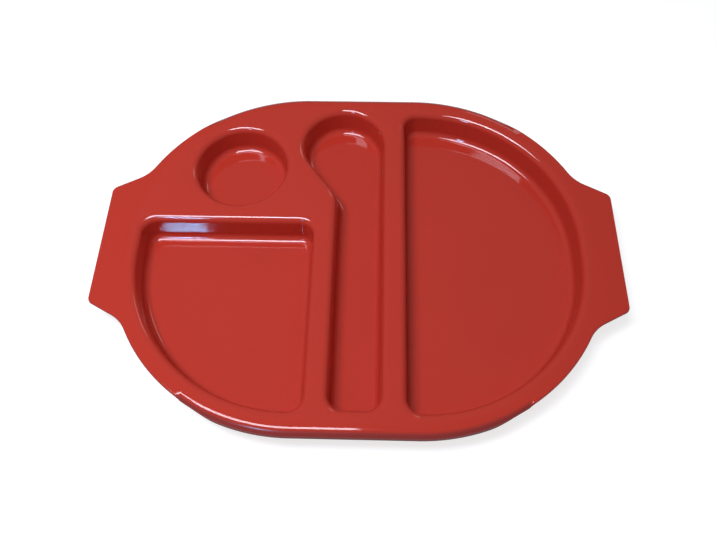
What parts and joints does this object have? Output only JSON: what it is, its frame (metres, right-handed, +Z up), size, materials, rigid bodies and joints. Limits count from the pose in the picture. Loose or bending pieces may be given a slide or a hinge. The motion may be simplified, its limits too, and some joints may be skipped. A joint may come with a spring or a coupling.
{
  "type": "divided compartment plate",
  "caption": "Shallow rounded meal plate moulded with a large food well, a smaller side well, a long cutlery well, a round cup well, rolled edges and end handles.",
  "frame": {"origin": "middle of the plate, on the surface that the well undersides rest on", "axes": "+X along the length to the main well, +Y from the front edge to the rear edge, +Z up"},
  "size_m": [0.375, 0.2768, 0.0245],
  "materials": {
    "moulding": "glossy injection moulded, red all through"
  },
  "bodies": {
    "root": {"deck": "moulding", "front_lip": "moulding", "rear_lip": "moulding", "left_handle": "moulding", "right_handle": "moulding", "main_well": "moulding", "side_well": "moulding", "cutlery_well": "moulding", "cup_well": "moulding"}
  },
  "joints": []
}
